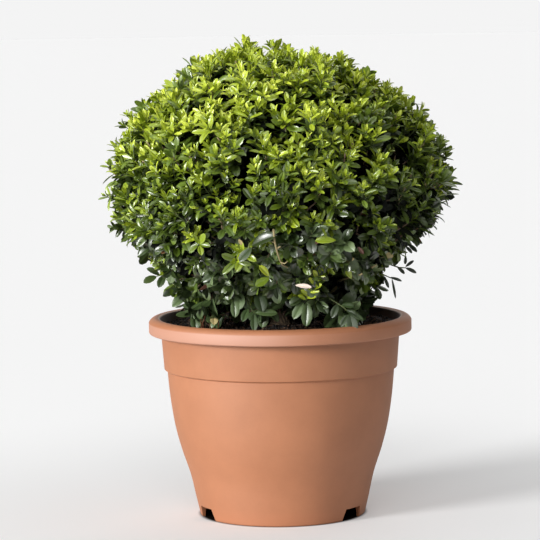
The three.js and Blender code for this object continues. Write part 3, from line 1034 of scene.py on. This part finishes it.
def makeStem():
    s = limbSizes
    steps = s["steps"]
    foot = Vector((0, 0, s["foot"]))
    points = [foot.lerp(forkPoint, i / steps) for i in range(steps + 1)]
    radii = []
    for i in range(steps + 1):
        along = i / steps
        flare = math.exp(-along * (forkPoint.z - s["foot"]) / (0.5 * s["flare"]))
        radii.append(s["neckRadius"] + (s["forkRadius"] - s["neckRadius"]) * along
                     + (s["footRadius"] - s["neckRadius"]) * flare)
    stem = extrudeLimb(points, radii, s["sides"])
    finishPiece(stem, "main_stem_bark", ["main_stem"], [barkMaterial])
    bpy.ops.object.shade_smooth()


def makeBough(index):
    s = limbSizes
    steps = s["boughSteps"]
    points = boughPath(index)
    radii = [s["baseRadius"] + (s["tipRadius"] - s["baseRadius"]) * i / steps for i in range(steps + 1)]
    bough = extrudeLimb(points, radii, s["boughSides"])
    finishPiece(bough, f"bough_bark_{index + 1}", [f"bough_{index + 1}"], [barkMaterial])
    bpy.ops.object.shade_smooth()
    return points


barkMaterial = bark()
makeStem()
boughPaths = [makeBough(index) for index in range(limbSizes["boughs"])]
print("stem and boughs made")


def nearestBough(place):
    level = Vector((place.x, place.y, 0)).normalized()
    ends = [Vector((path[-1].x, path[-1].y, 0)).normalized() for path in boughPaths[:-1]]
    return max(range(len(ends)), key=lambda i: ends[i].dot(level))


def growCrown():
    groups = [[] for _ in boughPaths]
    for spray in spraysOnCrown():
        away = spray["base"] - forkPoint
        isLeader = away.angle(zAxis) < math.radians(30)
        groups[-1 if isLeader else nearestBough(away)].append(spray)
    for path, group in zip(boughPaths, groups):
        heading = (path[-1] - path[-2]).normalized()
        growLimb(path[-1] - heading * 3, heading, group)
    print("sprays on the crown:", sum(len(group) for group in groups))


def witherLeaves():
    # some of the older leaves have died on the twig
    for kind, count in crownSizes["withered"].items():
        for n in sorted(dice.sample(range(len(leafBeds[kind])), count), reverse=True):
            leaf = leafBeds[kind].pop(n)
            leafBeds["dead"].append(leaf[:-1] + (dice.choice((0, 1, 1, 3)),))


growCrown()
witherLeaves()


# low sprays between the crown and the pot

skirtSizes = {
    "spacing": 21, "more": 2, "base": 22, "outward": 0.75, "sink": 0.5, "uneven": 0.3,
    "rightTuck": 16, "tone": 3, "seed": 19,
    "single": ("skirt_front_left", "skirt_front_right", "skirt_over_lip"),
}
skirtNames = [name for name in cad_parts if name.startswith("skirt_")]


def growSkirts():
    c = skirtSizes
    dice.seed(c["seed"])
    for name in skirtNames:
        low, high = (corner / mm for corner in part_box(name))
        size = high - low
        count = 1 if name in c["single"] else round(max(size.x, size.y) / c["spacing"]) + c["more"]
        group = []
        for k in range(count):
            place = Vector((dice.uniform(low.x, high.x), dice.uniform(low.y, high.y), 0))
            place.z = low.z + size.z * dice.uniform(0.15, 0.7)
            place.x -= c["rightTuck"] * share(place.x, 80, 140)
            outward = Vector((place.x, place.y, 0)).normalized()
            heading = (outward * c["outward"] - zAxis * c["sink"] + randomTurn() * c["uneven"]).normalized()
            group.append({"base": place - heading * c["base"], "heading": heading, "place": place,
                          "low": 1.0, "tone": c["tone"], "skirt": True})
        path = boughPaths[nearestBough((low + high) / 2)]
        growLimb(path[-2], (path[-1] - path[-2]).normalized(), group)


growSkirts()

# sprigs that stand out: their leaves' kind, the stalk, then each leaf's foot, tip, shade and width by length
facing = Vector((0.08, -0.74, 0.6))  # the way their upper sides look
sprigs = [
    ("skirt", [(-44, -78, 306), (-41, -108, 284), (-34, -120, 269.5), (-31, -122, 267)], [  # front left
        ((-31, -122, 267), (-4.5, -126, 267.5), 2, 0.4), ((-32, -122, 267), (-32, -134, 246.5), 0, 0.42),
        ((-39, -121, 273), (-48, -130, 257.5), 0, 0.5), ((-27, -112, 293), (-21.5, -127, 271), 1, 0.55),
        ((-48.5, -112, 300), (-50, -121, 315), 3, 0.72), ((-49, -114, 293), (-48, -130, 275), 3, 0.52),
        ((-56, -114, 284), (-53, -128, 266), 3, 0.5), ((-56, -112, 291), (-68, -120, 286), 3, 0.5),
        ((-45, -112, 297), (-34, -120, 290), 1, 0.5)]),
    ("skirt", [(28, -74, 306), (34, -104, 292), (31, -118, 282)], [  # front right
        ((33, -119, 280), (31, -132, 253), 2, 0.48), ((28, -118, 280), (16, -128, 261), 3, 0.44),
        ((27, -117, 284), (13, -125, 277), 2, 0.7), ((25, -115, 287), (17, -122, 297), 3, 0.6),
        ((43, -112, 285), (57, -124, 267), 1, 0.55)]),
    ("fresh", [(31, -118, 280), (36, -140, 293), (41, -146, 303), (45, -146, 312)], [  # bright sprig
        ((31, -138, 284), (23, -146, 290), 2, 0.5), ((32, -138, 286), (40, -148, 290), 2, 0.5),
        ((34, -142, 288), (26, -150, 297), 1, 0.5), ((36, -144, 293), (46, -152, 296), 1, 0.5),
        ((37, -145, 296), (30, -153, 304), 1, 0.5), ((39, -145, 298), (50, -153, 303), 2, 0.5),
        ((41, -146, 303), (36, -153, 312), 0, 0.5), ((44, -146, 307), (53, -153, 313), 1, 0.5),
        ((45, -146, 310), (42, -153, 320), 0, 0.5)]),
    ("skirt", [(48, -96, 297), (60, -118, 283), (76, -123, 273), (84, -124, 265)], [  # over the collar
        ((84, -124, 265), (89, -138, 243.5), 1, 0.5), ((82, -123, 264), (73, -131, 251), 1, 0.45),
        ((85, -123, 266), (101, -126, 258), 0, 0.42), ((70, -121, 277), (62, -130, 262), 1, 0.5),
        ((79, -123, 269), (92, -130, 267), 1, 0.45), ((74, -122, 275), (88, -128, 277), 0, 0.5)]),
    ("skirt", [(-94, -34, 238.5), (-100, -38, 249), (-108, -40, 257.5)], [  # sucker
        ((-108, -40, 257.5), (-129, -47, 257), 2, 0.4), ((-106, -40, 256), (-104, -54, 242), 2, 0.7),
        ((-105, -40, 255), (-97, -50, 249), 2, 0.5), ((-107, -40, 257), (-101, -46, 264), 0, 0.4)]),
    ("skirt", [(-70, -14, 298), (-96, -18, 287), (-114, -20, 281)], [  # left edge
        ((-114, -20, 281), (-134, -32, 270), 3, 0.55), ((-106, -20, 288), (-98, -30, 275), 2, 0.5),
        ((-110, -20, 283), (-126, -26, 290), 0, 0.5), ((-98, -20, 290), (-90, -30, 280), 1, 0.4)]),
    ("old", [(-90, 10, 330), (-120, 0, 312), (-146, -4, 304), (-154, -4, 302)], [  # low left
        ((-154, -4, 302), (-169, -14, 296), 1, 0.55), ((-150, -4, 303), (-163, -12, 314), 3, 0.5),
        ((-144, -4, 304), (-150, -14, 289), 0, 0.55), ((-138, -2, 306), (-132, -14, 288), 3, 0.55),
        ((-136, -2, 307), (-140, -12, 324), 1, 0.55), ((-128, 0, 310), (-118, -14, 296), 2, 0.55)]),
    ("old", [(-84, -30, 318), (-108, -34, 300), (-126, -36, 290)], [  # lower left
        ((-126, -36, 290), (-144, -44, 281), 2, 0.5), ((-122, -36, 292), (-132, -46, 303), 3, 0.6),
        ((-110, -34, 299), (-116, -46, 314), 0, 0.55), ((-104, -34, 302), (-97, -46, 291), 3, 0.6)]),
    ("old", [(134, 0, 352), (150, 0, 346), (157.5, 0, 336), (158.5, 0, 323)], [  # hanging
        ((158.5, 0, 323), (159, -3, 312.5), 2, 0.45), ((158, 0, 335), (167, -3, 327), 2, 0.4),
        ((156, 0, 339), (163, -3, 345), 0, 0.45), ((161, 0, 338), (172.5, -3, 328), 2, 0.42)]),
    ("old", [(112, 0, 326), (134, 0, 314), (150, 0, 308), (159, 0, 307.5)], [  # forked
        ((158, 0, 307.5), (172, -3, 303), 2, 0.36), ((158, 0, 308.5), (168.5, -3, 316.5), 2, 0.3),
        ((148, 0, 308.5), (157, -3, 301), 2, 0.45), ((144, 0, 310), (150, -3, 321), 0, 0.45)]),
    ("old", [(100, -16, 312), (124, -20, 304), (139, -20, 297)], [  # low right
        ((140, -20, 297), (145.5, -23, 272.5), 2, 0.15), ((130, -20, 300), (135.5, -23, 285), 2, 0.26),
        ((137, -20, 298), (152, -24, 294), 2, 0.3), ((122, -20, 304), (118, -26, 284), 2, 0.5),
        ((112, -20, 306), (104, -28, 284), 2, 0.5)]),
    ("grown", [(-30, -170, 352), (-34, -196, 352), (-33, -204, 354)], [  # among the old leaves
        ((-33, -194, 355), (-11, -215, 373), 3, 0.46)]),
    ("old", [], [  # on the same stalk
        ((-33, -203, 353), (-47, -212, 340), 0, 0.5)]),
    ("fresh", [(-88, -136, 350), (-94, -166, 354), (-96, -176, 356)], [  # bright rosette
        ((-95, -177, 356), (-83, -185, 357), 4, 0.6), ((-95, -177, 355), (-93, -185, 344), 3, 0.6),
        ((-97, -177, 355), (-107, -183, 351), 4, 0.5), ((-97, -176, 357), (-101, -184, 368), 3, 0.45),
        ((-95, -176, 357), (-88, -184, 369), 3, 0.5)]),
    ("fresh", [(-8, -140, 306), (-11, -165, 313), (-13, -172, 315)], [  # bright pair
        ((-13, -172, 316), (-23, -180, 329), 1, 0.5), ((-13, -172, 315), (-29, -180, 306), 4, 0.5)]),
    ("fresh", [(90, -110, 304), (88, -140, 308), (86, -148, 310)], [  # bright right
        ((86, -149, 310), (79, -157, 323), 2, 0.6), ((85, -150, 322), (73, -157, 328), 4, 0.45)]),
    ("fresh", [(108, -90, 322), (119, -106, 336), (122, -112, 352)], [  # bright far right
        ((122, -113, 344), (136, -119, 350), 3, 0.6)]),
    ("fresh", [(60, -176, 356), (65, -198, 359), (64, -204, 361)], [  # bright leaf
        ((66, -205, 361), (43, -212, 362), 3, 0.5)]),
]
# dead leaves: one caught among the sprigs, the rest low down
deadLeaves = [
    ((18, -160, 304), (37, -165, 302.5), 2, 0.32), ((-82, -62, 259), (-82, -73, 248.5), 0, 0.72),
    ((92, -192, 352), (99, -196, 344), 3, 0.5), ((-48, -203, 364), (-44, -208, 359), 0, 0.6),
    ((48, -203, 364), (42, -207, 358), 3, 0.5), ((60, -110, 241), (74, -118, 242), 1, 0.5),
]


def addPlacedLeaf(kind, foot, tip, shade, slim):
    foot, tip = Vector(foot), Vector(tip)
    reach = (tip - foot).length
    addLeaf(kind, foot, (tip - foot).normalized(), facing.normalized(), reach * 1.04, shade, slim=slim,
            **leafShapes["placed"])


def growSprigs():
    for kind, places, leaves in sprigs:
        if places:
            last = len(places) - 1
            radii = [1.3 - 0.6 * i / last for i in range(last + 1)]
            addTube(shoots, [Vector(p) for p in places], radii, 5, 0)
        for leaf in leaves:
            addPlacedLeaf(kind, *leaf)


growSprigs()

# a shoot that was clipped bare with its side stubs, clipped twigs, and dry stalks in the compost at the left
clipped = [
    ([(12, -110, 326), (9, -160, 326), (3, -186, 331), (0, -197, 338), (-3, -203, 348), (-6, -208, 362),
      (-7, -211, 376)], [1.0, 1.0, 0.9, 0.9, 1.1, 1.3, 1.5]),
    ([(-4, -203, 351), (-1, -206, 354), (1, -209, 355)], [0.9, 0.8, 0.7]),
    ([(-6, -206, 359), (-9, -209, 361)], [0.8, 0.6]),
    ([(1, -195, 335), (6, -200, 334), (9, -203, 337)], [0.8, 0.7, 0.5]),
    ([(70, -80, 300), (98, -130, 313), (117, -134, 325)], [1.3, 1.2, 1.2]),
    ([(-82, -62, 260), (-83, -62, 270), (-83, -61, 282)], [0.9, 1.0, 1.3]),
]
dryStalks = {
    "middle": (-92, -40, 240), "around": (15, 14), "count": 16, "height": (18, 40), "lean": 9,
    "radii": [0.6, 0.6, 0.5, 0.45, 0.4],
}


def addBareStalks():
    for points, radii in clipped:
        addTube(shoots, [Vector(p) for p in points], radii, 8, 2)
    d = dryStalks
    for i in range(d["count"]):
        across, back = (dice.uniform(-1, 1) * reach for reach in d["around"])
        foot = Vector(d["middle"]) + Vector((across, back, 0))
        top = foot + zAxis * dice.uniform(*d["height"]) + randomTurn() * d["lean"]
        addTube(shoots, curvedPath(foot, zAxis, top, 4, 0.05), d["radii"], 4, dice.choice((2, 3, 3, 3)))
    for leaf in deadLeaves:
        addPlacedLeaf("dead", *leaf)


addBareStalks()

# young wood is green and a little waxy, two-year wood tan, older wood brown and dull; each with its roughness
twigLook = [("box twig, two years old", "85705a", 0.75), ("box twig, older", "45382a", 0.85)]
shootLook = [("box shoot, green", "586438", 0.55), ("box shoot, ripened", "85705a", 0.7),
             ("box shoot, clipped bare", "988a62", 0.7), ("dry stalk", "8a5238", 0.8)]


def plainMaterials(looks):
    return [newMaterial(name, Base_Color=linearColour(colour), Roughness=roughness)
            for name, colour, roughness in looks]


storeToPiece(twigs, "twigs", plainMaterials(twigLook))
storeToPiece(shoots, "leafy_shoots", plainMaterials(shootLook))
mostLeaves = 6000  # in one piece
for kind, leaves in leafBeds.items():
    materials = leafMaterials(kind)
    replaced = skirtNames if kind == "skirt" else ["clipped_crown"]
    shapeOf = (shadedOutline, shadedSection) if kind == "shaded" else (leafOutline, leafSection)
    for n, start in enumerate(range(0, len(leaves), mostLeaves)):
        leavesToPiece(leaves[start:start + mostLeaves], f"{kind}_leaves_{n + 1}", replaced, materials,
                      leafTemplate(*shapeOf))
    print(kind, "leaves:", len(leaves))


# crumbs and fibres on the compost

def crumbShape():
    # a small uneven lump of twelve corners
    golden = (1 + 5 ** 0.5) / 2
    corners = [Vector((0, a, b * golden)) for a in (-1, 1) for b in (-1, 1)]
    corners += [Vector((a, b * golden, 0)) for a in (-1, 1) for b in (-1, 1)]
    corners += [Vector((b * golden, 0, a)) for a in (-1, 1) for b in (-1, 1)]
    faces = []
    for i in range(12):
        for j in range(i + 1, 12):
            for k in range(j + 1, 12):
                a, b, c = corners[i], corners[j], corners[k]
                if max((a - b).length, (b - c).length, (c - a).length) < 2.1:
                    out = (b - a).cross(c - a).dot(a + b + c) > 0
                    faces.append((i, j, k) if out else (i, k, j))
    return [c / 1.9 for c in corners], faces


def placeOnCompost(inner, outer):
    radius = math.sqrt(dice.uniform(inner ** 2, outer ** 2))
    turn = dice.uniform(0, 2 * math.pi)
    x, y = radius * math.cos(turn), radius * math.sin(turn)
    return Vector((x, y, compostHeight(x, y)))


def scatterCompost():
    c = compostSizes
    crumbs = newStore()
    corners, faces = crumbShape()
    outer = potSizes["neckRadius"] - potSizes["wall"] - 3
    for n in range(c["loose"]):
        place = placeOnCompost(c["flatAtStem"], outer)
        size = dice.choice(c["looseSizes"])
        stretch = Vector((dice.uniform(0.7, 1.4), dice.uniform(0.7, 1.4), dice.uniform(0.5, 1.0))) * size
        turn = Quaternion(randomTurn(), dice.uniform(0, 3))
        first = len(crumbs["verts"])
        for corner in corners:
            lump = Vector(p * q for p, q in zip(corner * dice.uniform(0.8, 1.15), stretch))
            crumbs["verts"].append(place + zAxis * size * 0.35 + turn @ lump)
        crumbs["faces"] += [tuple(first + k for k in face) for face in faces]
        crumbs["slots"] += [dice.choice((0, 0, 0, 1, 1, 1, 2, 3))] * len(faces)
    for n in range(c["fibres"]):
        foot = placeOnCompost(28, outer - 10) + zAxis * 0.6
        level = Vector((dice.gauss(0, 1), dice.gauss(0, 1), dice.gauss(0, 0.12))).normalized()
        end = foot + level * dice.uniform(*c["fibreLength"]) + zAxis * dice.uniform(0, 2.5)
        path = curvedPath(foot, (level + zAxis * 0.3).normalized(), end, 4, 0.06)
        addTube(crumbs, path, [0.45] * 5, 4, dice.choice((2, 3, 3)))
    # peat crumbs and dry fibres, matt throughout
    looks = [(f"peat crumb, shade {i + 1}", colour, 0.9) for i, colour in enumerate(c["shades"])]
    storeToPiece(crumbs, "compost_crumbs", plainMaterials(looks), smooth=False)


scatterCompost()
print("compost strewn")
